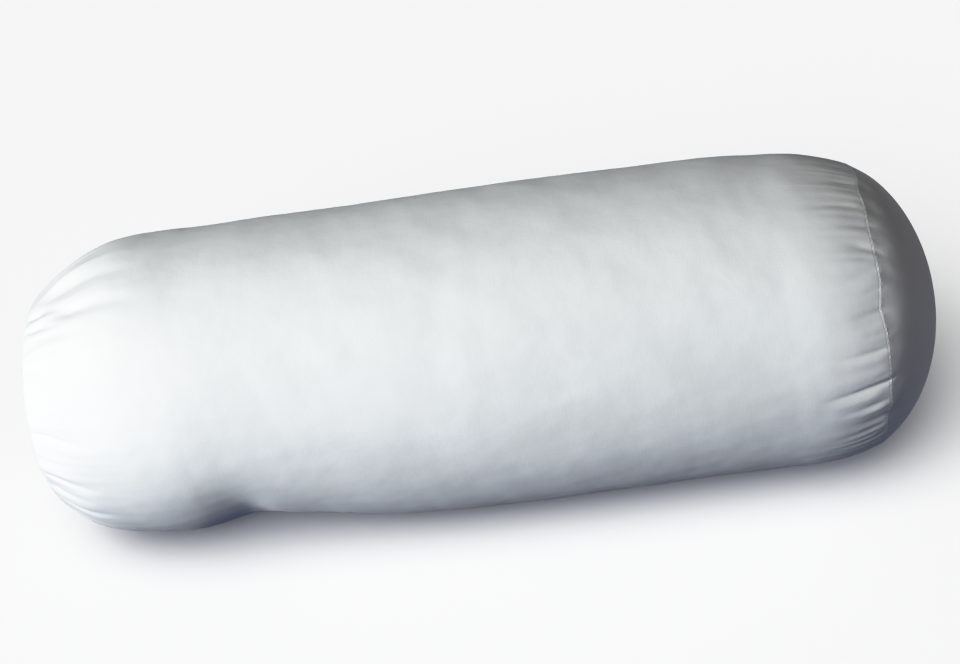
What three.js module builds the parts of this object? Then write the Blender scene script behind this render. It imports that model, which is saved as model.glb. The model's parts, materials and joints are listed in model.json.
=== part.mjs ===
// Neck roll pillow: a filled cotton bolster lying on its side.
//
// One rectangle of plain-woven cotton makes the tube. Its two ends are gathered onto round end
// panels, so the filled roll turns over a round shoulder at each end, and puckers fan out from
// both seams. The right end is full and its panel bulges. The left end is flatter and smaller.
//
// Millimetres and degrees. +Z is up, +X runs along the roll to its fuller end, -Y is the front.
// An angle around the roll is counted from the front, 0, up over the top, 90, to the back, 180.
// A length along the roll is counted from the middle of the tube.

import * as THREE from 'three';

// Driving dimensions of the roll: its nominal radius, how far it has settled onto the surface,
// how softly the flat strip under it begins, and its radius from place to place
const ROLL_RADIUS = 77.5;
const SETTLED = 6;
const FLAT_EDGE = 1.5;
const SECTIONS = [
  { along: -150, radius: 75.6 },
  { along: -100, radius: 76.9 },
  { along: -50, radius: 77.2 },
  { along: 0, radius: 78.1 },
  { along: 50, radius: 78.4 },
  { along: 100, radius: 77.9 },
  { along: 150, radius: 77.0 },
];

// Past this place the roll bows to the front, by this much after the first 100 mm
const BOW = { from: 100, rate: 3.3 };

// The two ends: where the seam lies, how far the shoulder reaches back from it, how steeply the
// shoulder has turned in when it gets there, and how far the end panel stands out past the seam
const LEFT_END = {
  side: -1, seam: 209, seamRadius: 52.6, shoulder: 74, shoulderTurn: 62, crown: 10, crownTurn: 60,
};
const RIGHT_END = {
  side: 1, seam: 192, seamRadius: 69.9, shoulder: 37, shoulderTurn: 70, crown: 35, crownTurn: 72,
};

// Cloth
const PANEL_THICKNESS = 1.2;
const CLEARANCE = 0.3;
const SEAM_EDGE = { width: 1.4, rise: 0.9 };

// Hollows where the filling has settled. The first is the crease near the left end. A negative
// depth is a swell.
const HOLLOWS = [
  { along: -115, around: -50, length: 15, spread: 42, depth: 3.4 },
  { along: -117, around: -52, length: 30, spread: 40, depth: 2.4 },
  { along: -89, around: -55, length: 33, spread: 50, depth: 4.6 },
  { along: 2, around: -55, length: 59, spread: 50, depth: -1.0 },
  { along: -165, around: -52, length: 28, spread: 45, depth: 1.0 },
  { along: -174, around: 108, length: 28, spread: 50, depth: -3.8 },
  { along: 124, around: 118, length: 20, spread: 50, depth: -0.8 },
  { along: 146, around: 100, length: 12, spread: 22, depth: 1.2 },
  { along: 185, around: 118, length: 30, spread: 60, depth: 2.4 },
];

// Puckers at the seams that show. Each is a groove that starts at an angle at the seam, leans by
// some degrees on its way along the roll, and fades out at its reach. A negative depth is a fold
// that stands up beside a groove.
const RIGHT_PUCKERS = [
  { around: 113, lean: 3, reach: 24, depth: 1.4, width: 4.5 },
  { around: 101, lean: 2, reach: 20, depth: 1.2, width: 4.0 },
  { around: 89, lean: -3, reach: 32, depth: 1.5, width: 4.2 },
  { around: 75, lean: -2, reach: 32, depth: 1.7, width: 4.0 },
  { around: 66, lean: 1, reach: 16, depth: 1.2, width: 3.8 },
  { around: 55, lean: 2, reach: 22, depth: 2.2, width: 3.8 },
  { around: 47, lean: -5, reach: 28, depth: 1.6, width: 4.0 },
  { around: 38, lean: 0, reach: 14, depth: 1.0, width: 3.8 },
  { around: 29, lean: -2, reach: 20, depth: 1.7, width: 4.0 },
  { around: 17, lean: -2, reach: 23, depth: 2.2, width: 3.8 },
  { around: 10, lean: -3, reach: 30, depth: -0.8, width: 4.0 },
  { around: 4, lean: -4, reach: 34, depth: 3.0, width: 4.2 },
  { around: -5, lean: 0, reach: 30, depth: 1.8, width: 3.8 },
  { around: -15, lean: -5, reach: 34, depth: 1.9, width: 4.2 },
  { around: -26, lean: -3, reach: 34, depth: 1.8, width: 4.0 },
  { around: -38, lean: -2, reach: 26, depth: 1.6, width: 4.2 },
];
const LEFT_PUCKERS = [
  { around: 121, lean: 4, reach: 34, depth: 1.2, width: 4.5 },
  { around: 107, lean: 6, reach: 30, depth: 1.3, width: 4.2 },
  { around: 95, lean: 12, reach: 46, depth: 1.5, width: 4.2 },
  { around: 89, lean: 5, reach: 44, depth: -0.8, width: 4.0 },
  { around: 83, lean: 2, reach: 54, depth: 2.6, width: 4.0 },
  { around: 73, lean: -3, reach: 54, depth: 1.7, width: 4.2 },
  { around: 64, lean: -4, reach: 22, depth: 1.2, width: 3.8 },
  { around: 50, lean: -4, reach: 20, depth: 1.4, width: 4.5 },
  { around: 36, lean: 1, reach: 18, depth: 1.2, width: 4.2 },
  { around: 18, lean: -2, reach: 38, depth: 2.4, width: 4.0 },
  { around: 5, lean: 1, reach: 22, depth: 1.2, width: 3.8 },
  { around: -13, lean: 9, reach: 34, depth: 1.7, width: 4.2 },
  { around: -30, lean: 3, reach: 30, depth: 1.5, width: 4.2 },
];

// The gathers go on in the same way where they don't show, between these angles
const HIDDEN_PUCKERS = { from: 128, to: 312, count: 12, reach: 26, depth: 1.7, width: 4.2 };
const PANEL_REACH = 0.36;

// How finely the solids are faceted
const COLUMNS = 96;
const SHOULDER_STEPS = 8;
const TUBE_STEP = 21;
const CREASE_STEP = 6;
const CREASE_REACH = 22;
const PANEL_TURNS = [0.26, 0.5, 0.7, 0.85, 0.94];

const COTTON = { color: 0xe4e5e8, roughness: 0.88, metalness: 0 };

const { degToRad, clamp, euclideanModulo } = THREE.MathUtils;
const AXIS_HEIGHT = ROLL_RADIUS - SETTLED;

// Smooth curve through the radii of the sections
const sectionCurve = new THREE.CubicInterpolant(
  SECTIONS.map((row) => row.along),
  SECTIONS.map((row) => row.radius),
  1,
);

function fullRadius(along) {
  const first = SECTIONS[0].along;
  const last = SECTIONS[SECTIONS.length - 1].along;
  return sectionCurve.evaluate(clamp(along, first, last))[0];
}

// Shortest turn in degrees from one angle to another
function turnBetween(from, to) {
  return euclideanModulo(to - from + 180, 360) - 180;
}

function bell(value) {
  return Math.exp(-value * value);
}

// How far the shoulder has drawn in, from 0 where it leaves the tube to 1 at the seam
function shoulderDraw(end, along) {
  const way = clamp(1 - (end.seam - along * end.side) / end.shoulder, 0, 1);
  const turn = degToRad(end.shoulderTurn);
  const here = Math.asin(way * Math.sin(turn));
  return (1 - Math.cos(here)) / (1 - Math.cos(turn));
}

function tubeRadius(along) {
  const full = fullRadius(along);
  const left = shoulderDraw(LEFT_END, along) * (full - LEFT_END.seamRadius);
  const right = shoulderDraw(RIGHT_END, along) * (full - RIGHT_END.seamRadius);
  return full - left - right;
}

function hollowDepth(along, radius, around) {
  let depth = 0;
  for (const hollow of HOLLOWS) {
    const near = bell((along - hollow.along) / hollow.length);
    const facing = bell(turnBetween(hollow.around, around) / hollow.spread);
    depth += hollow.depth * near * facing;
  }
  return depth * radius / ROLL_RADIUS;
}

// Visible puckers come from the end's table, the rest are spaced evenly with uneven reach
function puckersOf(end) {
  const shown = end.side > 0 ? RIGHT_PUCKERS : LEFT_PUCKERS;
  const { from, to, count, reach, depth, width } = HIDDEN_PUCKERS;
  const hidden = [];
  for (let i = 0; i < count; i += 1) {
    const uneven = 1 + 0.3 * Math.sin(2.4 * i + end.side);
    const around = from + (to - from) * (i + 0.5) / count;
    const lean = 4 * Math.cos(1.7 * i);
    hidden.push({ around, lean, reach: reach * uneven, depth: depth * uneven, width });
  }
  return [...shown, ...hidden];
}

const PUCKERS = new Map([
  [LEFT_END, puckersOf(LEFT_END)],
  [RIGHT_END, puckersOf(RIGHT_END)],
]);

// Depth of the puckers at a distance from the seam, on the tube or on the end panel
function puckerDepth(end, distance, around, reachScale) {
  let depth = 0;
  for (const pucker of PUCKERS.get(end)) {
    const gone = distance / (pucker.reach * reachScale);
    if (gone < 1) {
      const middle = pucker.around + pucker.lean * gone;
      const aside = degToRad(turnBetween(middle, around)) * end.seamRadius;
      depth += pucker.depth * bell(aside / pucker.width) * (1 - gone) ** 2;
    }
  }
  return depth;
}

// A point at an angle around the roll, with the resting side flattened onto the surface
function place(along, radius, around) {
  const angle = degToRad(around);
  const height = AXIS_HEIGHT + radius * Math.sin(angle);
  const bow = BOW.rate * (Math.max(along - BOW.from, 0) / 100) ** 2;
  let resting = Math.max(height, 0);
  if (Math.abs(height) < FLAT_EDGE) resting = (height + FLAT_EDGE) ** 2 / (4 * FLAT_EDGE);
  return new THREE.Vector3(along, -radius * Math.cos(angle) - bow, resting);
}

function tubePoint(along, around) {
  const base = tubeRadius(along);
  let radius = base - hollowDepth(along, base, around);
  for (const end of [LEFT_END, RIGHT_END]) {
    radius -= puckerDepth(end, end.seam - along * end.side, around, 1);
  }
  return place(along, radius, around);
}

// A point on the crowned end, at a share of the turn from its middle, 0, to the seam, 1, and
// set in from the panel's face by an inset
function crownPoint(end, share, inset, around) {
  const turn = degToRad(end.crownTurn);
  const here = share * turn;
  const deep = end.crown / (1 - Math.cos(turn));
  const wide = end.seamRadius / Math.sin(turn);
  const out = deep * (Math.cos(here) - Math.cos(turn));
  const normal = new THREE.Vector2(Math.cos(here) / deep, Math.sin(here) / wide).normalize();
  const along = end.side * (end.seam + out - normal.x * inset);
  const base = wide * Math.sin(here);
  const distance = (1 - share) * turn * wide;
  const relief = hollowDepth(end.side * (end.seam + out), base, around)
    + puckerDepth(end, distance, around, PANEL_REACH);
  return place(along, base - normal.y * inset - relief, around);
}

function ring(pointAt) {
  return Array.from({ length: COLUMNS }, (_, column) => pointAt(360 * column / COLUMNS));
}

// Closed surface from rings of points, with one point at each end, from -X to +X. Each patch
// between two rings is split along its shorter diagonal.
function closedLoft(firstPoint, rings, lastPoint) {
  const points = [firstPoint, ...rings.flat(), lastPoint];
  const last = points.length - 1;
  const index = [];
  const at = (row, column) => 1 + row * COLUMNS + column % COLUMNS;
  const span = (one, other) => points[one].distanceTo(points[other]);
  for (let column = 0; column < COLUMNS; column += 1) {
    index.push(0, at(0, column), at(0, column + 1));
    index.push(at(rings.length - 1, column), last, at(rings.length - 1, column + 1));
    for (let row = 0; row < rings.length - 1; row += 1) {
      const [near, nearNext] = [at(row, column), at(row, column + 1)];
      const [far, farNext] = [at(row + 1, column), at(row + 1, column + 1)];
      if (span(near, farNext) < span(far, nearNext)) {
        index.push(near, far, farNext, near, farNext, nearNext);
      } else {
        index.push(near, far, nearNext, far, farNext, nearNext);
      }
    }
  }
  const geometry = new THREE.BufferGeometry().setFromPoints(points);
  geometry.setIndex(index);
  geometry.computeVertexNormals();
  return geometry;
}

// Places along the tube for its rings, closer together at the shoulders and over the crease
function tubeStations() {
  const stations = [];
  for (let step = 0; step <= SHOULDER_STEPS; step += 1) {
    const way = Math.sin(Math.PI / 2 * step / SHOULDER_STEPS);
    stations.push(-LEFT_END.seam + LEFT_END.shoulder * (1 - way));
    stations.push(RIGHT_END.seam - RIGHT_END.shoulder * (1 - way));
  }
  const crease = HOLLOWS[0].along;
  let along = -LEFT_END.seam + LEFT_END.shoulder;
  const stop = RIGHT_END.seam - RIGHT_END.shoulder;
  while (along < stop - TUBE_STEP) {
    along += Math.abs(along - crease) < CREASE_REACH ? CREASE_STEP : TUBE_STEP;
    stations.push(along);
  }
  return stations.sort((one, other) => one - other);
}

// The filled tube with its crowned ends, set in where the end panels lie on it
function filledBody() {
  const inset = PANEL_THICKNESS + CLEARANCE;
  const shares = [...PANEL_TURNS, 1];
  const crownRings = (end) => shares.map(
    (share) => ring((around) => crownPoint(end, share, inset, around)),
  );
  const tubeRings = tubeStations().map((along) => ring((around) => tubePoint(along, around)));
  return closedLoft(
    crownPoint(LEFT_END, 0, inset, 0),
    [...crownRings(LEFT_END), ...tubeRings, ...crownRings(RIGHT_END).reverse()],
    crownPoint(RIGHT_END, 0, inset, 0),
  );
}

// A round panel of cloth over a crowned end, with its edge turned out into the seam
function endPanel(end) {
  const rimLength = degToRad(end.crownTurn) * end.seamRadius / Math.sin(degToRad(end.crownTurn));
  const shareOf = (distance) => 1 - distance / rimLength;
  const { width, rise } = SEAM_EDGE;
  const profile = [
    ...PANEL_TURNS.map((share) => [share, 0]),
    [shareOf(CLEARANCE + width), 0],
    [shareOf(CLEARANCE + width * 0.7), -rise],
    [shareOf(CLEARANCE + width * 0.15), -rise],
    [shareOf(CLEARANCE), PANEL_THICKNESS],
    ...PANEL_TURNS.toReversed().map((share) => [share, PANEL_THICKNESS]),
  ];
  const rings = profile.map(
    ([share, inset]) => ring((around) => crownPoint(end, share, inset, around)),
  );
  const face = crownPoint(end, 0, 0, 0);
  const back = crownPoint(end, 0, PANEL_THICKNESS, 0);
  return end.side < 0 ? closedLoft(face, rings, back) : closedLoft(back, rings.reverse(), face);
}

function cottonPiece(name, geometry) {
  const piece = new THREE.Mesh(geometry, new THREE.MeshStandardMaterial(COTTON));
  piece.name = name;
  return piece;
}

const pillow = new THREE.Group();
pillow.add(cottonPiece('filled_body', filledBody()));
pillow.add(cottonPiece('end_panel_left', endPanel(LEFT_END)));
pillow.add(cottonPiece('end_panel_right', endPanel(RIGHT_END)));

// The origin is under the middle of the whole roll, on the surface it rests on
const middle = new THREE.Box3().setFromObject(pillow).getCenter(new THREE.Vector3());
pillow.position.set(-middle.x, -middle.y, 0);

export default pillow;
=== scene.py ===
"""A white cotton neck roll pillow lying on a pale floor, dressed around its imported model.

The roll is one rectangle of cotton, gathered at both ends onto round end panels and filled. Its
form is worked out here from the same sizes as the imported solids, then the gathered ends are
blown up as cloth, so that the cloth buckles where it is drawn in. Sizes in the tables are
millimetres and degrees. An angle around the roll is counted from the front, 0, up over the top,
90, to the back, 180. A length along the roll is counted from the middle of the tube.
"""

import json
import math
from dataclasses import dataclass

import bpy
import numpy as np
from bpy.props import FloatProperty, FloatVectorProperty, IntProperty, PointerProperty
from bpy.types import Operator, Panel, PropertyGroup
from mathutils import Matrix, Vector

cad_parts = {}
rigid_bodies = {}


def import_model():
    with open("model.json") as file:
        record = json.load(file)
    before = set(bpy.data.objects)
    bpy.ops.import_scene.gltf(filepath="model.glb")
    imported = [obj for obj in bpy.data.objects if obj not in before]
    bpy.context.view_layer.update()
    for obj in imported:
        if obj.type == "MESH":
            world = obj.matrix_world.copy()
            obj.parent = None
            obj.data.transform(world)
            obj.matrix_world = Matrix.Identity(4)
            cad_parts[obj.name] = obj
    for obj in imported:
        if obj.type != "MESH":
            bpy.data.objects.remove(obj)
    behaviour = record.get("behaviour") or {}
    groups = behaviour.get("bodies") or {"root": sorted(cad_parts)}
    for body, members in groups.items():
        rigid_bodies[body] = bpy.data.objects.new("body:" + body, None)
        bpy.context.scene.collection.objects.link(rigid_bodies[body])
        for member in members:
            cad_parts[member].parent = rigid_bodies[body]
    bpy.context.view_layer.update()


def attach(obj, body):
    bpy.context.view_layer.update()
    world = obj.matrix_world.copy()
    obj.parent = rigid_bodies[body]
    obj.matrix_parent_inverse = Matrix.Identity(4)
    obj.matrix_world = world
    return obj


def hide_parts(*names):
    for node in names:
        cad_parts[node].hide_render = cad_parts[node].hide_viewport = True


bl_info = {
    "name": "Neck Roll Pillow",
    "version": (1, 0, 0),
    "blender": (4, 5, 0),
    "location": "View3D > Sidebar > Neck Roll",
    "description": "Makes a white cotton neck roll pillow around its packed model",
    "category": "Mesh",
}

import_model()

MM = 0.001
BODY = "root"
# Middle of the roll, in metres, at which the lamps are aimed
LIT_PLACE = (0, 0, 0.075)

# The filled roll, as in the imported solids: how far it has sunk onto its flat strip, how soft the
# strip's edges are, the tube's radius at places along it, and from where and how much it bows
ROLL_RADIUS = 77.5
SETTLED = 6
FLAT_EDGE = 1.5
SECTION_ALONG = (-150, -100, -50, 0, 50, 100, 150)
SECTION_RADIUS = (75.6, 76.9, 77.2, 78.1, 78.4, 77.9, 77.0)
BOW_FROM = 100
BOW_RATE = 3.3


@dataclass(frozen=True)
class End:
    """One end of the roll, with its seam, its shoulder and the panel that stands out past it."""

    side: int
    seam: float
    seam_radius: float
    shoulder: float
    shoulder_turn: float
    crown: float
    crown_turn: float
    gather: float
    gather_reach: float
    fold_share: float
    fold_reach: float


LEFT = End(
    side=-1, seam=209, seam_radius=52.6, shoulder=74, shoulder_turn=62, crown=10, crown_turn=60,
    gather=0.12, gather_reach=30, fold_share=0.12, fold_reach=40,
)
RIGHT = End(
    side=1, seam=192, seam_radius=69.9, shoulder=37, shoulder_turn=45, crown=34, crown_turn=67,
    gather=0.09, gather_reach=22, fold_share=0.2, fold_reach=25,
)

# Hollows where the filling has settled: along, around, length, spread, depth. The first three
# make the crease near the left end. A negative depth is a swell.
HOLLOWS = (
    (-115, -50, 15, 42, 2.7), (-118, -50, 30, 42, 3.1), (-89, -55, 33, 50, 4.6),
    (2, -55, 59, 50, -1.0), (-165, -52, 28, 45, 1.0), (-174, 108, 28, 50, -3.8),
    (124, 118, 20, 50, -0.5), (146, 100, 12, 22, 0.3), (185, 118, 30, 60, 2.4),
    (-7, 50, 8, 24, 0.4), (11, 42, 8, 28, 0.35), (-113, -36, 7, 14, 0.9),
    (60, 62, 30, 22, 0.5), (-128, -32, 20, 20, 1.5), (-190, -35, 16, 40, -2.2),
    (-186, 74, 18, 40, 1.8),
)

# Puckers that show at the seams: around, lean, reach, depth, width. A negative depth is a fold
# that stands up beside a groove.
RIGHT_PUCKERS = (
    (113, 3, 24, 1.3, 4.5), (101, 2, 20, 1.0, 4.0), (89, -3, 32, 1.3, 4.6),
    (75, -2, 38, 1.5, 4.8), (66, 1, 16, 0.8, 3.8), (55, 2, 26, 1.9, 4.6),
    (47, -5, 34, 1.0, 4.0), (38, 0, 14, 0.7, 3.8), (29, -2, 22, 1.4, 5.0),
    (17, -2, 26, 1.1, 4.6), (2, -3, 38, 1.5, 4.0), (-15, -5, 36, 0.9, 5.0),
    (-26, -3, 34, 0.9, 4.4), (-38, -2, 26, 1.2, 4.2),
)
LEFT_PUCKERS = (
    (121, 4, 34, 1.2, 4.5), (107, 6, 30, 1.3, 4.2), (95, 12, 46, 1.5, 4.2),
    (89, 5, 44, -0.8, 4.0), (83, 2, 54, 2.6, 4.0), (73, -3, 54, 1.7, 4.2),
    (64, -4, 22, 1.2, 3.8), (50, -4, 20, 1.4, 4.5), (36, 1, 18, 1.2, 4.2),
    (18, -2, 38, 2.4, 4.0), (5, 1, 22, 1.2, 3.8), (-13, 9, 34, 1.7, 4.2),
    (-30, 3, 30, 1.5, 4.2),
)
# Sharp creases and small ridges over the puckers: the distance from the seam and the angle
# where each begins and ends, then depth and width. A negative distance is on the end panel.
RIGHT_CREASES = (
    (-8, 3.6, 32, -0.8, 1.6, 1.1), (2, -1.0, 29, -4.6, -0.8, 2.2),
    (1, -5.2, 24, -8.6, 0.7, 1.4), (1, -7.5, 16, -11.0, -0.6, 1.2),
    (0, -20.0, 27, -22.5, 0.9, 1.8), (1, -26.0, 29, -27.5, -0.7, 1.0),
    (-2, 16.5, 23, 15.0, 0.9, 1.0), (0, 13.5, 20, 12.0, -0.4, 1.8),
    (0, 76.5, 15, 73.0, -0.5, 1.2), (6, 75.0, 30, 71.0, 0.7, 1.4),
    (0, 89.0, 26, 85.0, 0.7, 1.6), (-10, 52.5, 13, 57.0, 1.1, 1.5),
    (-11, 55.5, 4, 59.0, -0.7, 1.4), (0, 51.5, 24, 51.0, 0.6, 1.4),
    (-3, 47.5, 21, 41.5, 0.7, 1.3), (-6, 31.5, 16, 29.0, 0.8, 1.3),
    (-7, 40.0, 8, 38.0, 0.6, 1.3), (-8, 23.0, 12, 22.0, 0.6, 1.2),
    (-8, 66.0, 16, 63.0, 0.7, 1.4), (-6, -31.0, 18, -34.0, 0.8, 1.4),
)
LEFT_CREASES = (
    (1, 90.0, 62, 84.0, 3.0, 3.6), (10, 93.5, 58, 98.5, -1.6, 3.0),
    (0, 83.5, 34, 72.0, 2.4, 2.4), (16, 73.5, 66, 69.0, 2.4, 3.0),
    (0, 74.5, 26, 65.0, 1.7, 1.5), (4, 66.0, 40, 60.0, 1.3, 2.2),
    (1, 19.5, 34, 13.0, 2.0, 1.3), (0, 17.0, 30, 10.0, -0.9, 2.0),
    (1, -3.7, 30, -6.5, 1.7, 1.6), (0, 52.5, 16, 47.0, 1.2, 1.4),
    (0, 38.0, 14, 35.0, 0.8, 1.4), (0, -14.0, 24, -13.0, 1.2, 1.6),
    (0, -24.0, 32, -22.0, 1.6, 1.7), (0, -36.0, 30, -33.0, 1.2, 1.8),
    (0, 108.0, 44, 106.0, 1.8, 2.6),
)
# How far the seam strays along the roll from a plain ring: around, along
RIGHT_STRAY = (
    (-60, -0.5), (-38, 0.6), (-26, -0.4), (-15, -0.9), (-9, 1.2), (-4, 0.8),
    (13, 0.8), (22, 0.3), (32, -1.5), (42, 0.1), (52, -0.3), (64, -1.0),
    (75, -0.4), (83, -1.3), (97, 0.3),
)
# Where the right seam's turned edge stands up most: around, share
SEAM_SHOWS = (
    (-55, 0.3), (-30, 0.5), (-12, 0.3), (-6, 0.55), (2, 0.5), (10, 0.3),
    (20, 0.7), (27, 1.1), (44, 1.0), (50, 0.5), (57, 0.3), (64, 0.8),
    (69, 0.4), (76, 0.9), (83, 0.8), (90, 0.3),
)
# That table holds around this facing, over this spread. Every share stays in the range.
SEEN_FACING = 20
SEEN_SPREAD = 85
LIFT_LEAST = 0.15
LIFT_MOST = 1.2
# Elsewhere a seam strays by this much, at turns of this angle. It draws the cloth along with it
# over this distance.
STRAY_STEP = 15
STRAY_SIZE = 0.8
STRAY_REACH = 12
# Puckers of the back and the underside, which don't show
HIDDEN_FROM = 128
HIDDEN_TO = 312
HIDDEN_COUNT = 12
HIDDEN_REACH = 26
HIDDEN_DEPTH = 1.7
HIDDEN_WIDTH = 4.2
# Reach of a pucker on an end panel, as a share of that on the tube, and of a crease
PANEL_REACH = 0.7
CREASE_REACH = 5
# A crease is at its full depth after this part of its length
CREASE_ONSET = 0.2
# The seam holds the cloth out, so that a pucker is shallower by this share right at it
SEAM_EASE = 0.6
SEAM_EASE_REACH = 5

# Small waves of the cloth over its filling: their lengths, how steep each is, and the distance
# from a seam over which they fade
WAVE_SEED = 11
WAVE_COUNT = 44
WAVE_SHORT = 9
WAVE_LONG = 45
WAVE_SLOPE = 0.005
WAVE_FADE = 25

# The mesh of the cloth. Columns run from the underside, where the cloth's cut edge is hidden, and
# the gathered band takes each second one.
COLUMNS = 480
FIRST_ANGLE = -90
BAND_SKIP = 2
# Steps from ring to ring: near a seam and past that reach on the tube, then on a crowned end. A
# side that is hidden under a panel takes each fourth ring.
FINE_STEP = 2.3
FINE_REACH = 78
COARSE_STEP = 3.2
CROWN_STEP = 2.6
SEAT_SKIP = 4
# Steps in which the arc over a crowned end is measured
ARC_STEPS = 200

# The turned edge of a seam, cut across: distance from the seam in edge widths, then height in
# edge rises and in thicknesses of the cloth
EDGE_CREST = 0.55
EDGE_SECTION = (
    (2.3, 0.02, 0), (1.6, 0.35, 0), (0.95, 0.8, 0), (EDGE_CREST, 1, 0), (0.3, 0.75, 0),
    (0.12, 0.3, 0), (0.03, 0, 0), (0.03, 0, -1),
)
# Rings of the face that an edge may lie on, and how far past it the first free one is
EDGE_RINGS = 6
EDGE_CLEAR = 1.25
# Share of the way to the next ring at which the tube has a ring close to each seam
CLOSE_RING = 0.1
# Least distance of two rings on the flat cloth, and where a panel's cloth lies beside the tube's
LEAST_STEP = 0.001
PANEL_ASIDE = 2.5

# The gathered band that is blown up reaches this far from a seam. It is held more and more from
# the second distance on, and fast within the third of the seam.
BAND_REACH = 76
HELD_FROM = 50
SEAM_HELD = 2
# Share of the steps over which it is drawn in, and how its cloth behaves
GATHER_SHARE = 0.6
BLOWN_CLOTH = {
    "quality": 5, "mass": 0.02, "tension_stiffness": 15, "compression_stiffness": 15,
    "shear_stiffness": 4, "bending_stiffness": 0.05, "air_damping": 2,
    "use_pressure": True, "uniform_pressure_force": 4,
}
# Folds finer than this many columns are kept, up to this height
FOLD_COLUMNS = 11
FOLD_LIMIT = 2.6


def linear_colour(code):
    """Linear light, with full cover, of a colour given as six sRGB hex digits."""
    channels = [int(code[i : i + 2], 16) / 255 for i in (0, 2, 4)]
    light = [c / 12.92 if c <= 0.04045 else ((c + 0.055) / 1.055) ** 2.4 for c in channels]
    return (*light, 1.0)


def size_setting(name, description, default, unit="LENGTH"):
    return FloatProperty(name=name, description=description, default=default, unit=unit)


def colour_setting(name, description, code):
    return FloatVectorProperty(
        name=name, description=description, subtype="COLOR", size=4, default=linear_colour(code)
    )


class NeckRollSizes(PropertyGroup):
    """Sizes a user would change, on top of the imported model's own."""

    panel_cloth: size_setting("Panel cloth", "Thickness of the end panels' cloth", 0.0008)
    panel_seat: size_setting(
        "Panel seat", "How far the filling is set in under the face of an end panel", 0.0014
    )
    seam_edge_width: size_setting(
        "Seam edge width", "Width of the turned edge that stands up along a seam", 0.0018
    )
    seam_edge_rise: size_setting(
        "Seam edge rise", "Height of the turned edge that stands up along a seam", 0.00016
    )
    stitch_pitch: size_setting(
        "Stitch pitch", "Distance from one stitch of a seam to the next", 0.0028
    )
    stitch_length: size_setting("Stitch length", "Length of one stitch that shows", 0.0021)
    stitch_tilt: size_setting(
        "Stitch tilt", "How far a stitch may turn out of line", math.radians(7), "ROTATION"
    )
    thread_radius: size_setting("Thread radius", "Radius of the sewing thread", 0.00015)
    thread_pitch: size_setting(
        "Thread pitch", "Distance between the threads of the weave as drawn", 0.0011
    )
    blow_frames: IntProperty(
        name="Blow-up frames",
        description="Steps for which the gathered ends are blown up as cloth",
        default=22,
        min=0,
    )


class NeckRollColours(PropertyGroup):
    """Colours a user would change."""

    cotton: colour_setting("Cotton", "Colour of the bleached cotton", "ECEEF1")
    thread: colour_setting("Thread", "Colour of the sewing thread", "E4E6EA")
    floor: colour_setting("Floor", "Colour of the floor", "EAEAEA")


# Form of the roll, in millimetres


def turn_between(start, end):
    """Shortest turn in degrees from one angle to another."""
    return (end - start + 180) % 360 - 180


def bell(value):
    return np.exp(-value * value)


def full_radius(along):
    """Radius of the filled tube, on a smooth curve through its sections."""
    slopes = np.gradient(SECTION_RADIUS, SECTION_ALONG)
    here = np.clip(along, SECTION_ALONG[0], SECTION_ALONG[-1])
    row = np.clip(np.searchsorted(SECTION_ALONG, here, "right") - 1, 0, len(slopes) - 2)
    starts, radii = np.array(SECTION_ALONG, float), np.array(SECTION_RADIUS)
    span = starts[row + 1] - starts[row]
    t = (here - starts[row]) / span
    ease = t * t * (3 - 2 * t)
    flat = radii[row] * (1 - ease) + radii[row + 1] * ease
    return flat + span * t * (1 - t) * ((1 - t) * slopes[row] - t * slopes[row + 1])


def shoulder_draw(end, along):
    """How far the shoulder has drawn in, from 0 where it leaves the tube to 1 at the seam."""
    way = np.clip(1 - (end.seam - along * end.side) / end.shoulder, 0, 1)
    turn = math.radians(end.shoulder_turn)
    return (1 - np.cos(np.arcsin(way * math.sin(turn)))) / (1 - math.cos(turn))


def tube_radius(along):
    """Radius of the tube with both its shoulders drawn in."""
    full = full_radius(along)
    drawn = [shoulder_draw(end, along) * (full - end.seam_radius) for end in (LEFT, RIGHT)]
    return full - drawn[0] - drawn[1]


def hollow_depth(along, radius, around):
    """Depth of the hollows, which grow shallow towards the middle of a crowned end."""
    depth = 0
    for middle, facing, length, spread, deep in HOLLOWS:
        near = bell((along - middle) / length)
        depth = depth + deep * near * bell(turn_between(facing, around) / spread)
    return depth * radius / ROLL_RADIUS


def puckers_of(end):
    """The end's visible puckers, and evenly spaced ones of uneven reach where none show."""
    hidden = []
    for i in range(HIDDEN_COUNT):
        uneven = 1 + 0.3 * math.sin(2.4 * i + end.side)
        around = HIDDEN_FROM + (HIDDEN_TO - HIDDEN_FROM) * (i + 0.5) / HIDDEN_COUNT
        lean = 4 * math.cos(1.7 * i)
        hidden.append((around, lean, HIDDEN_REACH * uneven, HIDDEN_DEPTH * uneven, HIDDEN_WIDTH))
    return (RIGHT_PUCKERS if end.side > 0 else LEFT_PUCKERS) + tuple(hidden)


def pucker_depth(end, distance, around, reach_scale=1.0):
    """Depth of the puckers at a distance from the seam, on the tube or on the end panel."""
    depth = 0
    for start, lean, reach, deep, width in puckers_of(end):
        gone = np.clip(distance / (reach * reach_scale), 0, 1)
        aside = np.radians(turn_between(start + lean * gone, around)) * end.seam_radius
        depth = depth + deep * bell(aside / width) * (1 - gone) ** 2
    return depth * (1 - SEAM_EASE * bell(distance / SEAM_EASE_REACH))


def crease_depth(end, distance, around):
    """Depth of the sharp creases, strongest a little past the start of each."""
    depth = 0
    creases = RIGHT_CREASES if end is RIGHT else LEFT_CREASES
    for start, facing, stop, stop_facing, deep, width in creases:
        gone = np.clip((distance - start) / (stop - start), 0, 1)
        aside = turn_between(facing + (stop_facing - facing) * gone, around)
        across = bell(np.radians(aside) * end.seam_radius / width)
        depth = depth + deep * across * np.minimum(1, gone / CREASE_ONSET) * (1 - gone)
    return depth


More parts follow.
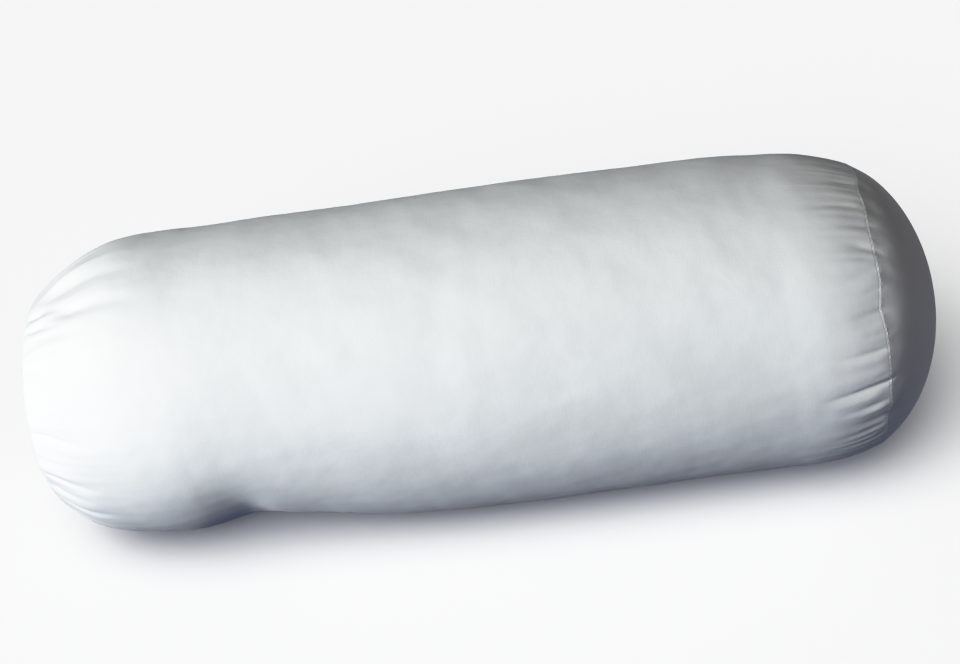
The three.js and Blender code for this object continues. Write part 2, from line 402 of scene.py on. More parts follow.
def seam_stray(end, distance, around):
    """How far the cloth is drawn along the roll where its seam strays from a plain ring."""
    shown = RIGHT_STRAY if end is RIGHT else ()
    first, last = (shown[0][0], shown[-1][0]) if shown else (0, -STRAY_STEP)
    rest = np.arange(last + STRAY_STEP, first + 360 - STRAY_STEP / 2, STRAY_STEP)
    turns = [row[0] for row in shown] + list(rest)
    shifts = [row[1] for row in shown] + list(STRAY_SIZE * np.sin(2.1 * rest + end.side))
    drawn = np.interp(around, turns, shifts, period=360)
    return drawn * bell(distance / STRAY_REACH)


def seam_lift(end, around):
    """How far the seam's edge stands up, as a share: uneven, and on the right seam as listed."""
    uneven = 0.6 + 0.4 * np.sin(0.61 * around) * np.sin(0.23 * around + 1)
    if end is RIGHT:
        turns, shares = zip(*SEAM_SHOWS)
        shown = np.interp(around, turns, shares, period=360)
        seen = bell(turn_between(SEEN_FACING, around) / SEEN_SPREAD)
        uneven = uneven * (1 - seen) + shown * seen
    return np.clip(uneven, LIFT_LEAST, LIFT_MOST)


def place(along, radius, around):
    """Points at an angle around the roll, before the resting side is flattened."""
    angle = np.radians(around)
    bow = BOW_RATE * (np.maximum(along - BOW_FROM, 0) / 100) ** 2
    height = ROLL_RADIUS - SETTLED + radius * np.sin(angle)
    along = along + 0 * angle
    return np.stack([along, -radius * np.cos(angle) - bow, height], -1)


def rest_on_floor(points):
    """Flattens the side that the roll rests on, softly at the strip's edges."""
    height = points[..., 2]
    near = (height + FLAT_EDGE) ** 2 / (4 * FLAT_EDGE)
    flat = np.where(np.abs(height) < FLAT_EDGE, near, np.maximum(height, 0))
    return np.concatenate([points[..., :2], flat[..., None]], -1)


def uneven_height(along, around):
    """Small waves of the cloth over its filling, on whole turns so that they close."""
    rng = np.random.default_rng(WAVE_SEED)
    height = 0
    for _ in range(WAVE_COUNT):
        length = math.exp(rng.uniform(math.log(WAVE_SHORT), math.log(WAVE_LONG)))
        heading, start = rng.uniform(0, math.pi), rng.uniform(0, 2 * math.pi)
        turns = round(2 * math.pi * ROLL_RADIUS / length * math.sin(heading))
        run = 2 * math.pi / length * math.cos(heading)
        wave = np.sin(run * along + turns * np.radians(around) + start)
        height = height + WAVE_SLOPE * length / (2 * math.pi) * wave
    return height


def tube_points(along, around):
    """Points of the tube, with its hollows, waves, puckers and creases."""
    base = tube_radius(along)
    radius = base - hollow_depth(along, base, around)
    ends = np.minimum(along + LEFT.seam, RIGHT.seam - along)
    radius = radius + uneven_height(along, around) * np.clip(ends / WAVE_FADE, 0, 1)
    shift = 0
    for end in (LEFT, RIGHT):
        distance = end.seam - along * end.side
        radius = radius - pucker_depth(end, distance, around)
        radius = radius - crease_depth(end, distance, around)
        shift = shift + seam_stray(end, distance, around)
    return place(along + shift, radius, around)


def crown_form(end):
    """Turn of the crowned end in radians, and the half axes of the ellipse it lies on."""
    turn = math.radians(end.crown_turn)
    return turn, end.crown / (1 - math.cos(turn)), end.seam_radius / math.sin(turn)


def crown_arc(end):
    """Length of cloth over a crowned end, from its middle to the seam."""
    turn, deep, wide = crown_form(end)
    here = np.linspace(0, turn, ARC_STEPS)
    line = np.stack([deep * np.cos(here), wide * np.sin(here)], -1)
    return float(np.linalg.norm(np.diff(line, axis=0), axis=-1).sum())


def crown_points(end, share, around):
    """Points of a crowned end, at a share of the turn from its middle, 0, to the seam, 1."""
    turn, deep, wide = crown_form(end)
    here = share * turn
    along = end.side * (end.seam + deep * (np.cos(here) - math.cos(turn)))
    base = wide * np.sin(here)
    distance = (1 - share) * turn * wide
    relief = hollow_depth(along, base, around)
    relief = relief + pucker_depth(end, distance, around, PANEL_REACH)
    relief = relief + crease_depth(end, -distance, around) * bell(distance / CREASE_REACH)
    return place(along + seam_stray(end, distance, around), base - relief, around)


# The cloth as a grid of rings, from the left panel's middle to the right one's


def tube_stations():
    """Places of the tube's rings, finer over the gathered ends."""
    stations = [-LEFT.seam]
    while stations[-1] < RIGHT.seam - FINE_STEP:
        here = stations[-1]
        near = min(here + LEFT.seam, RIGHT.seam - here)
        stations.append(here + (FINE_STEP if near < FINE_REACH else COARSE_STEP))
    fit = (RIGHT.seam + LEFT.seam) / (stations[-1] + LEFT.seam)
    return (np.array(stations) + LEFT.seam) * fit - LEFT.seam


def crown_shares(end):
    """Shares of the turn of a crowned end's rings, without its middle and its seam."""
    turn, _, wide = crown_form(end)
    count = round(turn * wide / CROWN_STEP)
    return np.linspace(0, 1, count + 1)[1:-1]


class Cloth:
    """The whole cover as one grid: left crown rings, tube rings and right crown rings."""

    def __init__(self):
        self.around = FIRST_ANGLE + np.arange(COLUMNS) * 360 / COLUMNS
        self.stations = tube_stations()
        self.shares = {end: crown_shares(end) for end in (LEFT, RIGHT)}
        around = self.around[None, :]
        left = crown_points(LEFT, self.shares[LEFT][:, None], around)
        right = crown_points(RIGHT, self.shares[RIGHT][::-1, None], around)
        tube = tube_points(self.stations[:, None], around)
        self.points = np.concatenate([left, tube, right])
        self.poles = [crown_points(end, 0, 0) for end in (LEFT, RIGHT)]
        self.first = len(left)
        self.last = self.first + len(tube)

    def centre(self):
        """Moves the grid so that the middle of its box is over the origin, as in the model."""
        every = np.concatenate([self.points.reshape(-1, 3), self.poles])
        middle = (every.min(0) + every.max(0)) / 2
        middle[2] = 0
        self.points = self.points - middle
        self.poles = [pole - middle for pole in self.poles]
        self.middle = middle

    def band(self, end):
        """Rows of the grid from an end's seam to where the gathered band stops."""
        away = end.seam - self.stations * end.side
        rows = np.flatnonzero(away <= BAND_REACH)
        return (rows if end is LEFT else rows[::-1]) + self.first


def closed_faces(rings, columns):
    """Faces of a closed surface of rings, with its two middles as the last two points."""
    row = np.arange(rings - 1)[:, None] * columns
    column = np.arange(columns)[None, :]
    after = (column + 1) % columns
    quads = np.stack(
        [row + column, row + columns + column, row + columns + after, row + after], -1
    ).reshape(-1, 4)
    first, last = rings * columns, rings * columns + 1
    base = (rings - 1) * columns
    caps = [(first, c, (c + 1) % columns) for c in range(columns)]
    caps += [(last, base + (c + 1) % columns, base + c) for c in range(columns)]
    return [tuple(q) for q in quads.tolist()] + caps


def link_object(name, mesh):
    piece = bpy.data.objects.new(name, mesh)
    bpy.context.scene.collection.objects.link(piece)
    return piece


def mesh_object(name, points, faces):
    """A mesh object from points in mm."""
    mesh = bpy.data.meshes.new(name)
    mesh.from_pydata((points.reshape(-1, 3) * MM).tolist(), [], faces)
    return link_object(name, mesh)


def grid_object(name, points, poles, cloth_place):
    """A closed mesh object from rings of points in mm, with its cloth places as a UV map."""
    rings, columns = points.shape[:2]
    every = np.concatenate([points.reshape(-1, 3), np.array(poles)])
    piece = mesh_object(name, every, closed_faces(rings, columns))
    piece.data.shade_smooth()
    write_cloth_place(piece.data, rings, columns, cloth_place)
    return piece


def write_cloth_place(mesh, rings, columns, cloth_place):
    """Writes each corner's place on the flat cloth, in metres, as the piece's UV map."""
    layer = mesh.uv_layers.new(name="cloth")
    corner = np.zeros(len(mesh.loops), int)
    mesh.loops.foreach_get("vertex_index", corner)
    corners = np.zeros(len(mesh.polygons), int)
    mesh.polygons.foreach_get("loop_total", corners)
    face_column = np.repeat(np.arange(len(corners)), corners) % columns
    pole = corner >= rings * columns
    row = np.where(pole, np.where(corner == rings * columns, -1, rings), corner // columns)
    # The last column of faces ends where the cloth has gone all the way round
    column = corner % columns
    column = np.where((face_column == columns - 1) & (column == 0), columns, column)
    column = np.where(pole, face_column, column)
    layer.data.foreach_set("uv", cloth_place(row, column).astype(np.float32).ravel())


def surface_normals(points):
    """Outward normals of the rings of points."""
    along = np.gradient(points, axis=0)
    around = np.roll(points, -1, 1) - np.roll(points, 1, 1)
    normal = np.cross(along, around)
    return normal / np.maximum(np.linalg.norm(normal, axis=-1, keepdims=True), 1e-9)


def blow_up(cut, gathered, hold, frames):
    """Draws a band of blown-up cloth in from the shape it was cut to, and returns its points."""
    rings, columns = cut.shape[:2]
    band_faces = closed_faces(rings, columns)[: (rings - 1) * columns]
    piece = mesh_object("gathered_band", cut, band_faces)
    piece.shape_key_add(name="cut")
    drawn = piece.shape_key_add(name="gathered")
    drawn.data.foreach_set("co", (gathered * MM).ravel())
    held = piece.vertex_groups.new(name="held")
    for ring in np.flatnonzero(hold > 0):
        members = range(ring * columns, (ring + 1) * columns)
        held.add(list(members), float(hold[ring]), "REPLACE")
    modifier = piece.modifiers.new("blow_up", "CLOTH")
    for name, value in BLOWN_CLOTH.items():
        setattr(modifier.settings, name, value)
    modifier.settings.vertex_group_mass = "held"
    modifier.settings.effector_weights.gravity = 0
    modifier.collision_settings.use_collision = False
    modifier.point_cache.frame_start = 1
    modifier.point_cache.frame_end = frames
    for number, share in ((1, 0.0), (round(GATHER_SHARE * frames), 1.0)):
        drawn.value = share
        drawn.keyframe_insert("value", frame=number)
    for number in range(1, frames + 1):
        bpy.context.scene.frame_set(number)
    blown = piece.evaluated_get(bpy.context.evaluated_depsgraph_get())
    mesh = blown.to_mesh()
    found = np.zeros(rings * columns * 3)
    mesh.vertices.foreach_get("co", found)
    blown.to_mesh_clear()
    bpy.context.scene.frame_set(1)
    bpy.data.objects.remove(piece)
    return found.reshape(cut.shape) / MM


def smooth_around(values, columns):
    """Mean of each ring's values under a soft window of a number of columns."""
    reach = int(2.5 * columns)
    window = np.exp(-((np.arange(-reach, reach + 1) / columns) ** 2))
    window /= window.sum()
    return sum(w * np.roll(values, i - reach, 1) for i, w in enumerate(window))


def fill_columns(values):
    """Twice as many columns, on a smooth curve through those given."""
    near = values + np.roll(values, -1, 1)
    far = np.roll(values, 1, 1) + np.roll(values, -2, 1)
    between = (9 * near - far) / 16
    return np.stack([values, between], 2).reshape(len(values), -1)


def gather_end(cloth, end, normals, frames):
    """Lets the cloth near an end's seam buckle, and keeps its folds but not its swelling."""
    rows = cloth.band(end)
    points = cloth.points[rows, ::BAND_SKIP]
    away = end.seam - cloth.stations[rows - cloth.first] * end.side
    wider = 1 + end.gather * bell(away / end.gather_reach)
    middle = points.mean(1, keepdims=True)
    cut = middle + (points - middle) * wider[:, None, None]
    hold = np.clip((away - HELD_FROM) / (BAND_REACH - HELD_FROM), 0, 1)
    hold[away < SEAM_HELD] = 1
    order = slice(None, None, -end.side)
    moved = blow_up(cut[order], points[order], hold[order], frames)[order] - points
    height = (moved * normals[rows, ::BAND_SKIP]).sum(-1)
    fold = height - smooth_around(height, FOLD_COLUMNS)
    fold = FOLD_LIMIT * np.tanh(fold / FOLD_LIMIT)
    fold = fill_columns(fold * (end.fold_share * bell(away / end.fold_reach))[:, None])
    return rows, normals[rows] * fold[..., None]


# The form once it is worked out
FORM = {}


def roll_form(context):
    """The finished grid of the cover, worked out once and shared by the pieces."""
    if not FORM:
        cloth = Cloth()
        frames = context.scene.neck_roll_sizes.blow_frames
        if frames:
            normals = surface_normals(cloth.points)
            for end in (LEFT, RIGHT):
                rows, folds = gather_end(cloth, end, normals, frames)
                cloth.points[rows] += folds
        cloth.points = rest_on_floor(cloth.points)
        cloth.centre()
        FORM["cloth"] = cloth
        FORM["normals"] = surface_normals(cloth.points)
    return FORM["cloth"], FORM["normals"]


# Materials

# Sizes of their patterns, in millimetres. Slubs are the thick places of a thread, crumples stay
# in washed cotton, and clouds are patches that reach this shade of the rest.
SLUB_LENGTH = 16.7
SLUB_WIDTH = 1.11
CRUMPLE_SIZE = 5.88
CLOUD_SIZE = 45.5
CLOUD_SHADE = 0.94
TWIST_LENGTH = 1.13
# Height of a crumple in slubs, and of both together in knuckles of the weave
CRUMPLE_HEIGHT = 10
SLUB_HEIGHT = 0.8


def add_node(tree, kind, links=(), inputs=(), **settings):
    """Adds a node. A link comes from a socket, or from a node, which stands for its first one."""
    node = tree.nodes.new(kind)
    for name, value in settings.items():
        setattr(node, name, value)
    for name, value in dict(inputs).items():
        node.inputs[name].default_value = value
    for name, source in dict(links).items():
        socket = source.outputs[0] if isinstance(source, bpy.types.Node) else source
        tree.links.new(socket, node.inputs[name])
    return node


def new_material(name):
    material = bpy.data.materials.new(name)
    material.use_nodes = True
    material.node_tree.nodes.clear()
    return material, material.node_tree


def add_surface(tree, links, inputs):
    """Ends a material with its surface."""
    shader = add_node(tree, "ShaderNodeBsdfPrincipled", links, inputs)
    add_node(tree, "ShaderNodeOutputMaterial", {"Surface": shader})


def woven_cotton(context):
    """Bleached cotton percale, plain woven: matte, faintly fuzzy, a hair uneven in its threads."""
    name = "bleached_cotton_plain_woven"
    if name in bpy.data.materials:
        return bpy.data.materials[name]
    material, tree = new_material(name)
    cloth = add_node(tree, "ShaderNodeUVMap", uv_map="cloth")
    # Threads are 0.3 mm apart in such cotton, and are drawn coarser so that they show
    fine = (math.pi / context.scene.neck_roll_sizes.thread_pitch,) * 3
    threads = add_node(tree, "ShaderNodeVectorMath", {0: cloth}, {1: fine}, operation="MULTIPLY")
    axes = add_node(tree, "ShaderNodeSeparateXYZ", {0: threads})
    warp, weft = (
        add_node(tree, "ShaderNodeMath", {0: axes.outputs[i]}, operation="SINE") for i in range(2)
    )
    crossing = add_node(tree, "ShaderNodeMath", {0: warp, 1: weft}, operation="MULTIPLY")
    knuckles = add_node(tree, "ShaderNodeMath", {0: crossing}, operation="ABSOLUTE")
    # Both sets of threads have slubs, which run along them
    slubs = []
    for size in ((SLUB_LENGTH, SLUB_WIDTH), (SLUB_WIDTH, SLUB_LENGTH)):
        scale = (1 / (size[0] * MM), 1 / (size[1] * MM), 1)
        drawn = add_node(tree, "ShaderNodeVectorMath", {0: cloth}, {1: scale}, operation="MULTIPLY")
        noise = {"Scale": 1, "Detail": 2}
        slubs.append(add_node(tree, "ShaderNodeTexNoise", {"Vector": drawn}, noise))
    slub = add_node(tree, "ShaderNodeMath", {0: slubs[0], 1: slubs[1]}, operation="ADD")
    noise = {"Scale": 1 / (CRUMPLE_SIZE * MM), "Detail": 3, "Roughness": 0.55}
    crumple = add_node(tree, "ShaderNodeTexNoise", {"Vector": cloth}, noise)
    relief = add_node(
        tree, "ShaderNodeMath", {0: crumple, 2: slub}, {1: CRUMPLE_HEIGHT}, operation="MULTIPLY_ADD"
    )
    height = add_node(
        tree, "ShaderNodeMath", {0: relief, 2: knuckles}, {1: SLUB_HEIGHT}, operation="MULTIPLY_ADD"
    )
    bump = add_node(
        tree, "ShaderNodeBump", {"Height": height}, {"Strength": 0.14, "Distance": 0.00012}
    )
    noise = {"Scale": 1 / (CLOUD_SIZE * MM), "Detail": 3}
    clouds = add_node(tree, "ShaderNodeTexNoise", {"Vector": cloth}, noise)
    tint = add_node(tree, "ShaderNodeValToRGB", {"Fac": clouds})
    shade, white = tint.color_ramp.elements
    shade.position = 0.3
    white.position = 0.62
    white.color = context.scene.neck_roll_colours.cotton
    shade.color = [channel * CLOUD_SHADE for channel in white.color[:3]] + [1]
    look = {"IOR": 1.5, "Roughness": 0.86, "Specular IOR Level": 0.3}
    sheen = {"Sheen Weight": 0.12, "Sheen Roughness": 0.5}
    add_surface(tree, {"Base Color": tint, "Normal": bump}, look | sheen)
    return material


def sewing_thread(context):
    """Polyester sewing thread, spun: white with a soft gloss from its twist."""
    material, tree = new_material("polyester_thread_spun")
    coordinates = add_node(tree, "ShaderNodeTexCoord")
    # A diagonal wave of scale 1 turns by 10 radians for each metre along each axis
    scale = 2 * math.pi / (10 * math.sqrt(3) * TWIST_LENGTH * MM)
    twist = add_node(
        tree, "ShaderNodeTexWave", {"Vector": coordinates.outputs["Object"]},
        {"Scale": scale, "Distortion": 1}, bands_direction="DIAGONAL",
    )
    depth = {"Strength": 0.3, "Distance": 0.00005}
    bump = add_node(tree, "ShaderNodeBump", {"Height": twist.outputs["Fac"]}, depth)
    look = {"IOR": 1.5, "Roughness": 0.7, "Specular IOR Level": 0.3}
    look["Base Color"] = context.scene.neck_roll_colours.thread
    add_surface(tree, {"Normal": bump}, look)
    return material


# Pieces


def dress(piece, material, *nodes):
    """Gives a piece its material and slot, and puts it on the roll in place of CAD nodes."""
    piece.data.materials.clear()
    piece.data.materials.append(material)
    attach(piece, BODY)
    if nodes:
        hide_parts(*nodes)


def crown_rows(cloth, end):
    """Rows of the grid over one crowned end, from its middle out to the ring before the seam."""
    count = len(cloth.points)
    return range(cloth.first) if end is LEFT else range(count - 1, cloth.last - 1, -1)


class NECKROLL_OT_filled_roll(Operator):
    """Make the filled roll: the cotton tube over its filling, with its crowned ends"""

    bl_idname = "neckroll.filled_roll"
    bl_label = "Filled roll"

    def execute(self, context):
        sizes = context.scene.neck_roll_sizes
        cloth, normals = roll_form(context)
        seat = sizes.panel_seat / MM
        sunk = cloth.points - normals * seat
        tube = cloth.points[cloth.first : cloth.last]
        left_rows = list(range(0, cloth.first, SEAT_SKIP))
        right_rows = list(range(len(sunk) - 1, cloth.last - 1, -SEAT_SKIP))[::-1]
        seam_in = (tube[0] - normals[cloth.first - 1] * seat, tube[-1] - normals[cloth.last] * seat)
        # A ring close to each seam keeps the shading of the tube off the seat
        close = [
            (1 - CLOSE_RING) * tube[at] + CLOSE_RING * tube[near] for at, near in ((0, 1), (-1, -2))
        ]
        left_seam = [seam_in[0], tube[0], close[0]]
        right_seam = [close[1], tube[-1], seam_in[1]]
        points = np.concatenate(
            [sunk[left_rows], left_seam, tube[1:-1], right_seam, sunk[right_rows]]
        )
        inward = np.array([seat, 0, 0])
        poles = [cloth.poles[0] + inward, cloth.poles[1] - inward]
        steps = np.linalg.norm(np.diff(points.mean(1), axis=0), axis=1)
        arcs = np.concatenate([[0], np.cumsum(np.maximum(steps, LEAST_STEP))]) * MM
        arcs = np.concatenate([arcs, arcs[-1:], arcs[:1]])
        girth = 2 * math.pi * ROLL_RADIUS * MM

        def cloth_place(row, column):
            return np.stack([arcs[row], column / COLUMNS * girth], -1)

        piece = grid_object("filled_roll", points, poles, cloth_place)
        dress(piece, woven_cotton(context), "filled_body")
        return {"FINISHED"}


def seam_rows(context, end):
    """The seam line, the ring of the panel next to it, and that ring's outward normals."""
    cloth, normals = roll_form(context)
    beside = cloth.first - 1 if end is LEFT else cloth.last
    seam = cloth.points[cloth.first if end is LEFT else cloth.last - 1]
    inward = cloth.points[beside] - seam
    inward = inward / np.linalg.norm(inward, axis=-1, keepdims=True)
    return seam, inward, normals[beside]


def seam_crest(context, end):
    """The line along the top of a seam's turned edge, and its outward directions."""
    sizes = context.scene.neck_roll_sizes
    cloth, _ = roll_form(context)
    seam, inward, out = seam_rows(context, end)
    lift = sizes.seam_edge_rise * seam_lift(end, cloth.around)[:, None]
    line = seam + (inward * EDGE_CREST * sizes.seam_edge_width + out * lift) / MM
    return line, out


def down_the_face(rings, away):
    """Points at a distance from the first of some rings, over the face that they lie on."""
    point = rings[0]
    for start, stop in zip(rings, rings[1:]):
        length = np.linalg.norm(stop - start, axis=-1, keepdims=True)
        point = point + (stop - start) * np.clip(away / length, 0, 1)
        away = away - length
    return point


class NECKROLL_OT_end_panels(Operator):
    """Make the two round end panels, with the turned edge that stands up along each seam"""

    bl_idname = "neckroll.end_panels"
    bl_label = "End panels"

    def execute(self, context):
        self.panel(context, LEFT, "panel_left", "end_panel_left")
        self.panel(context, RIGHT, "panel_right", "end_panel_right")
        return {"FINISHED"}

    def panel(self, context, end, name, node):
        sizes = context.scene.neck_roll_sizes
        cloth, normals = roll_form(context)
        rows = list(crown_rows(cloth, end))
        face = cloth.points[rows]
        out = normals[rows]
        seam, _, rim_out = seam_rows(context, end)
        width = sizes.seam_edge_width / MM
        rise = sizes.seam_edge_rise / MM
        thick = sizes.panel_cloth / MM
        lift = rise * seam_lift(end, cloth.around)[:, None]
        near = [seam, *face[::-1][:EDGE_RINGS]]
        rim = [
            down_the_face(near, away * width) + rim_out * (lift * up + thick * down)
            for away, up, down in EDGE_SECTION
        ]
        # Rings of the face that the edge takes up are left out
        reach = np.linalg.norm(face - seam, axis=-1).mean(1)
        keep = np.flatnonzero(reach > EDGE_CLEAR * EDGE_SECTION[0][0] * width)
        front = [face[i] for i in keep]
        back = [face[i] - out[i] * thick for i in reversed(keep[::SEAT_SKIP])]
        points = np.array(front + rim + back)
        pole = cloth.poles[0] if end is LEFT else cloth.poles[1]
        poles = [pole, pole - np.array([end.side * thick, 0, 0])]
        if end is RIGHT:
            points = points[::-1]
            poles = poles[::-1]
        flat = crown_arc(end) * MM
        away = np.linalg.norm(points - pole, axis=-1).mean(1) * MM
        away = np.concatenate([away, [0, 0]])
        shift = flat * PANEL_ASIDE

        def cloth_place(row, column):
            angle = column / COLUMNS * 2 * math.pi
            reach = away[row]
            return np.stack([shift + reach * np.cos(angle), reach * np.sin(angle)], -1)

        piece = grid_object(name, points, poles, cloth_place)
        dress(piece, woven_cotton(context), node)


def stitch_tree(material):
    """Geometry Nodes that set short bowed stitches along a closed path, at an even pitch."""
    tree = bpy.data.node_groups.new("seam_stitches", "GeometryNodeTree")
    for name in ("Path", "Pitch", "Length", "Radius", "Tilt"):
        kind = "NodeSocketGeometry" if name == "Path" else "NodeSocketFloat"
        tree.interface.new_socket(name=name, in_out="INPUT", socket_type=kind)
    tree.interface.new_socket(name="Stitches", in_out="OUTPUT", socket_type="NodeSocketGeometry")
    given = add_node(tree, "NodeGroupInput").outputs
    path = add_node(tree, "GeometryNodeMeshToCurve", {"Mesh": given["Path"]})
    pitch = {"Curve": path, "Length": given["Pitch"]}
    places = add_node(tree, "GeometryNodeResampleCurve", pitch, mode="LENGTH")
    # A stitch runs from back to half, dips under the cloth at both and bows up to its crest
    shares = (("Length", -0.5), ("Length", 0.5), ("Radius", -1.5), ("Radius", 1.1), ("Tilt", -1.0))
    back, half, sunk, crest, least = (
        add_node(tree, "ShaderNodeMath", {0: given[name]}, {1: share}, operation="MULTIPLY")
        for name, share in shares
    )
    start = add_node(tree, "ShaderNodeCombineXYZ", {"X": back, "Z": sunk})
    middle = add_node(tree, "ShaderNodeCombineXYZ", {"Z": crest})
    end = add_node(tree, "ShaderNodeCombineXYZ", {"X": half, "Z": sunk})
    bow = add_node(
        tree, "GeometryNodeCurveQuadraticBezier", {"Start": start, "Middle": middle, "End": end},
        {"Resolution": 5},
    )
    ring = add_node(
        tree, "GeometryNodeCurvePrimitiveCircle", {"Radius": given["Radius"]}, {"Resolution": 6}
    )
    thread = {"Curve": bow, "Profile Curve": ring}
    stitch = add_node(tree, "GeometryNodeCurveToMesh", thread, {"Fill Caps": True})
    tangent = add_node(tree, "GeometryNodeInputTangent")
    outward = add_node(
        tree, "GeometryNodeInputNamedAttribute", (), {"Name": "outward"}, data_type="FLOAT_VECTOR"
    )
    lying = add_node(tree, "FunctionNodeAlignRotationToVector", {"Vector": tangent}, axis="X")
    facing = add_node(
        tree, "FunctionNodeAlignRotationToVector", {"Rotation": lying, "Vector": outward},
        axis="Z", pivot_axis="X",
    )
    # The sockets of a random number are told apart by their place: 2 is the least, 3 the most
    span = {2: least, 3: given["Tilt"]}
    tilt = add_node(tree, "FunctionNodeRandomValue", span, {"Seed": 7}, data_type="FLOAT")
    aside = add_node(tree, "ShaderNodeCombineXYZ", {"Z": tilt.outputs[1]})
    turn = {"Rotation": facing, "Rotate By": aside}
    turned = add_node(tree, "FunctionNodeRotateRotation", turn, rotation_space="LOCAL")
    laid = {"Points": places, "Instance": stitch, "Rotation": turned}
    row = add_node(tree, "GeometryNodeInstanceOnPoints", laid)
    solid = add_node(tree, "GeometryNodeRealizeInstances", {"Geometry": row})
    smooth = add_node(tree, "GeometryNodeSetShadeSmooth", {"Geometry": solid})
    dressed = add_node(
        tree, "GeometryNodeSetMaterial", {"Geometry": smooth}, {"Material": material}
    )
    add_node(tree, "NodeGroupOutput", {"Stitches": dressed})
    return tree


class NECKROLL_OT_seam_stitches(Operator):
    """Make the stitches that show along the turned edge of each seam"""

    bl_idname = "neckroll.seam_stitches"
    bl_label = "Seam stitches"

    def execute(self, context):
        thread = sewing_thread(context)
        tree = stitch_tree(thread)
        self.row(context, LEFT, "seam_stitches_left", tree, thread)
        self.row(context, RIGHT, "seam_stitches_right", tree, thread)
        return {"FINISHED"}

    def row(self, context, end, name, tree, thread):
        sizes = context.scene.neck_roll_sizes
        line, outward = seam_crest(context, end)
        count = len(line)
        mesh = bpy.data.meshes.new(name + "_path")
        mesh.from_pydata((line * MM).tolist(), [(i, (i + 1) % count) for i in range(count)], [])
        facing = mesh.attributes.new("outward", "FLOAT_VECTOR", "POINT")
        facing.data.foreach_set("vector", outward.ravel())
        path = link_object(name + "_path", mesh)
        modifier = path.modifiers.new("stitches", "NODES")
        modifier.node_group = tree
        values = {
            "Pitch": sizes.stitch_pitch, "Length": sizes.stitch_length,
            "Radius": sizes.thread_radius, "Tilt": sizes.stitch_tilt,
        }
        for socket in tree.interface.items_tree:
            if socket.name in values:
                modifier[socket.identifier] = values[socket.name]
        made = path.evaluated_get(context.evaluated_depsgraph_get())
        stitches = bpy.data.meshes.new_from_object(made)
        bpy.data.objects.remove(path)
        dress(link_object(name, stitches), thread)


def direction(azimuth, elevation):
    """The way to an azimuth, counted from the front round to the right, and an elevation."""
    a, e = math.radians(azimuth), math.radians(elevation)
    return Vector((math.sin(a) * math.cos(e), -math.cos(a) * math.cos(e), math.sin(e)))


def add_lamp(light, azimuth, elevation, distance):
    """Sets a light up as a lamp that shines on the roll from an azimuth and elevation."""
    lamp = link_object(light.name, light)
    away = direction(azimuth, elevation) * distance
    lamp.location = Vector(LIT_PLACE) + away
    lamp.rotation_mode = "QUATERNION"
    lamp.rotation_quaternion = away.to_track_quat("Z", "Y")
    return lamp


def soft_light(name, azimuth, elevation, distance, size, power, colour):
    light = bpy.data.lights.new(name, "AREA")
    light.shape = "DISK"
    light.size = size
    light.energy = power
    light.color = linear_colour(colour)[:3]
    return add_lamp(light, azimuth, elevation, distance)


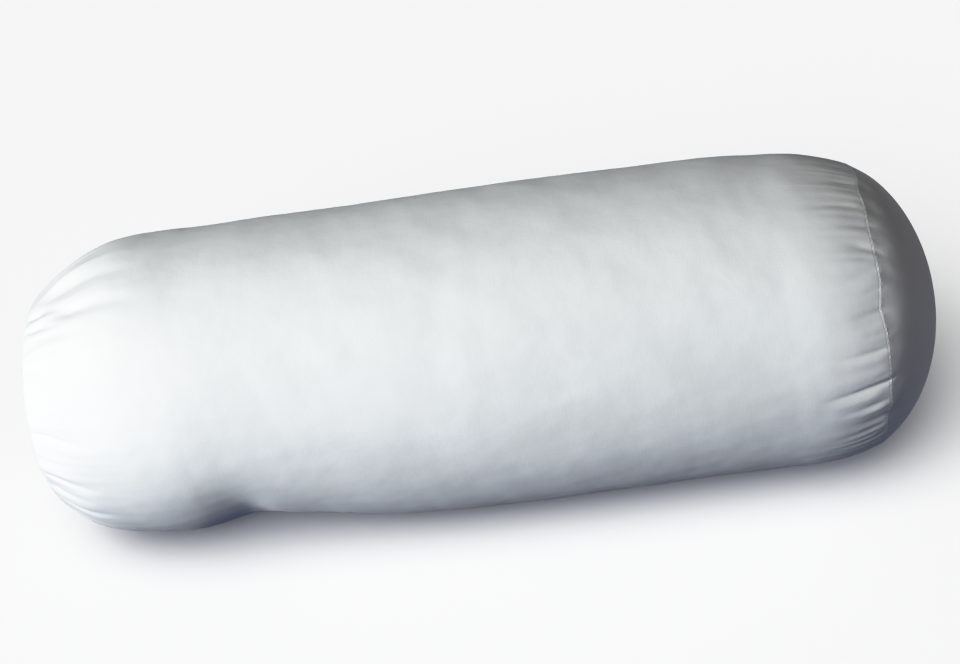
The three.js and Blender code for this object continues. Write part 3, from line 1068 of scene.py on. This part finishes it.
class NECKROLL_OT_stage(Operator):
    """Make the camera, the pale floor and the soft studio light"""

    bl_idname = "neckroll.stage"
    bl_label = "Stage"

    # The view of the photo: the roll tilts up to the right by the camera's own roll
    azimuth = 4.2
    elevation = 35.0
    roll = 9.6
    distance = 0.9375
    lens = 71.4
    aim = (6.0, 0.0, 79.7)
    floor_half = 6.0
    # Name, azimuth, elevation, distance, size, power and colour
    soft_lights = (
        ("key", -50, 28, 2.1, 0.7, 54, "FDFFFC"), ("side_fill", 72, 22, 1.8, 1.2, 3.4, "FFF6EB"),
        ("back_fill", 178, 8, 2.4, 1.4, 13, "FDFEFF"),
    )
    # Power, width, azimuth, elevation and distance of the floor's own light
    ground_light = (4.6, math.radians(70), -30, 52, 3)
    # Colour of the light from below, and from above this height of the way up
    light_below = "394564"
    light_above = "2F3031"
    horizon = 0.05
    # Scene light and the light shown for it
    response = ((0.12, 0.09), (0.3, 0.228), (0.6, 0.565), (0.85, 0.84), (1.1, 0.97), (1.35, 0.998))
    white_light = 1.8
    brightest = 2.0

    def execute(self, context):
        self.camera(context)
        self.floor(context)
        self.lights(context)
        self.surroundings(context)
        self.film(context)
        return {"FINISHED"}

    def camera(self, context):
        cloth, _ = roll_form(context)
        target = Vector((np.array(self.aim) - cloth.middle) * MM)
        a, r = math.radians(self.azimuth), math.radians(self.roll)
        back = direction(self.azimuth, self.elevation)
        right = Vector((math.cos(a), math.sin(a), 0))
        up = back.cross(right)
        tilted_right = right * math.cos(r) - up * math.sin(r)
        tilted_up = right * math.sin(r) + up * math.cos(r)
        camera = link_object("photo_camera", bpy.data.cameras.new("photo_camera"))
        camera.data.lens = self.lens
        camera.data.sensor_width = 36
        turn = Matrix((tilted_right, tilted_up, back)).transposed()
        camera.matrix_world = Matrix.Translation(target + back * self.distance) @ turn.to_4x4()
        context.scene.camera = camera

    def floor(self, context):
        mesh = bpy.data.meshes.new("floor")
        half = self.floor_half
        corners = [(-half, -half, 0), (half, -half, 0), (half, half, 0), (-half, half, 0)]
        mesh.from_pydata(corners, [], [(0, 1, 2, 3)])
        floor = bpy.data.objects.new("floor", mesh)
        self.ground = bpy.data.collections.new("ground")
        self.ground.objects.link(floor)
        context.scene.collection.children.link(self.ground)
        # Matte paper shows no highlight
        material, tree = new_material("floor_paper_matte")
        look = {"Roughness": 0.95, "Specular IOR Level": 0.1}
        look["Base Color"] = context.scene.neck_roll_colours.floor
        add_surface(tree, (), look)
        mesh.materials.append(material)
        # The photo's roll has no bright ground under it, so the floor lights nothing
        floor.visible_diffuse = False

    def lights(self, context):
        # The floor stays even under a light of its own, and the lamps on the roll leave it out
        left_out = bpy.data.collections.new("lamps_leave_out")
        left_out.objects.link(self.ground.objects[0])
        left_out.collection_objects[0].light_linking.link_state = "EXCLUDE"
        for row in self.soft_lights:
            soft_light(*row).light_linking.receiver_collection = left_out
        power, width, *place_of_sun = self.ground_light
        sun = bpy.data.lights.new("ground_light", "SUN")
        sun.energy = power
        sun.angle = width
        add_lamp(sun, *place_of_sun).light_linking.receiver_collection = self.ground

    def surroundings(self, context):
        """Cool light from below, as in the photo's shaded underside, and little from above."""
        world = bpy.data.worlds.new("studio")
        world.use_nodes = True
        tree = world.node_tree
        coordinates = add_node(tree, "ShaderNodeTexCoord")
        height = add_node(tree, "ShaderNodeSeparateXYZ", {0: coordinates.outputs["Generated"]})
        sky = add_node(tree, "ShaderNodeValToRGB", {"Fac": height.outputs["Z"]})
        below, above = sky.color_ramp.elements
        below.color = linear_colour(self.light_below)
        above.color = linear_colour(self.light_above)
        above.position = self.horizon
        tree.links.new(sky.outputs["Color"], tree.nodes["Background"].inputs["Color"])
        context.scene.world = world

    def film(self, context):
        """A soft shoulder and toe, as in the photo, which holds its bright end back from white."""
        view = context.scene.view_settings
        view.view_transform = "Standard"
        view.use_curve_mapping = True
        mapping = view.curve_mapping
        mapping.clip_max_x = self.brightest
        curve = mapping.curves[3]
        curve.points[0].location = (0, 0)
        curve.points[1].location = (self.white_light, 1)
        for light, shown in self.response:
            curve.points.new(light, shown)
        mapping.update()


class NECKROLL_PT_panel(Panel):
    """Lists the steps that make the pillow."""

    bl_idname = "NECKROLL_PT_panel"
    bl_label = "Neck roll pillow"
    bl_space_type = "VIEW_3D"
    bl_region_type = "UI"
    bl_category = "Neck Roll"

    def draw(self, context):
        layout = self.layout
        for step in STEPS:
            layout.operator(step.bl_idname)
        for group in (context.scene.neck_roll_sizes, context.scene.neck_roll_colours):
            for name in group.__annotations__:
                layout.prop(group, name)


STEPS = (
    NECKROLL_OT_stage, NECKROLL_OT_filled_roll, NECKROLL_OT_end_panels, NECKROLL_OT_seam_stitches,
)
CLASSES = (NeckRollSizes, NeckRollColours, *STEPS, NECKROLL_PT_panel)


def register():
    for item in CLASSES:
        bpy.utils.register_class(item)
    bpy.types.Scene.neck_roll_sizes = PointerProperty(type=NeckRollSizes)
    bpy.types.Scene.neck_roll_colours = PointerProperty(type=NeckRollColours)


def unregister():
    del bpy.types.Scene.neck_roll_colours
    del bpy.types.Scene.neck_roll_sizes
    for item in reversed(CLASSES):
        bpy.utils.unregister_class(item)


def main():
    register()
    bpy.ops.neckroll.stage()
    bpy.ops.neckroll.filled_roll()
    bpy.ops.neckroll.end_panels()
    bpy.ops.neckroll.seam_stitches()


if __name__ == "__main__":
    main()
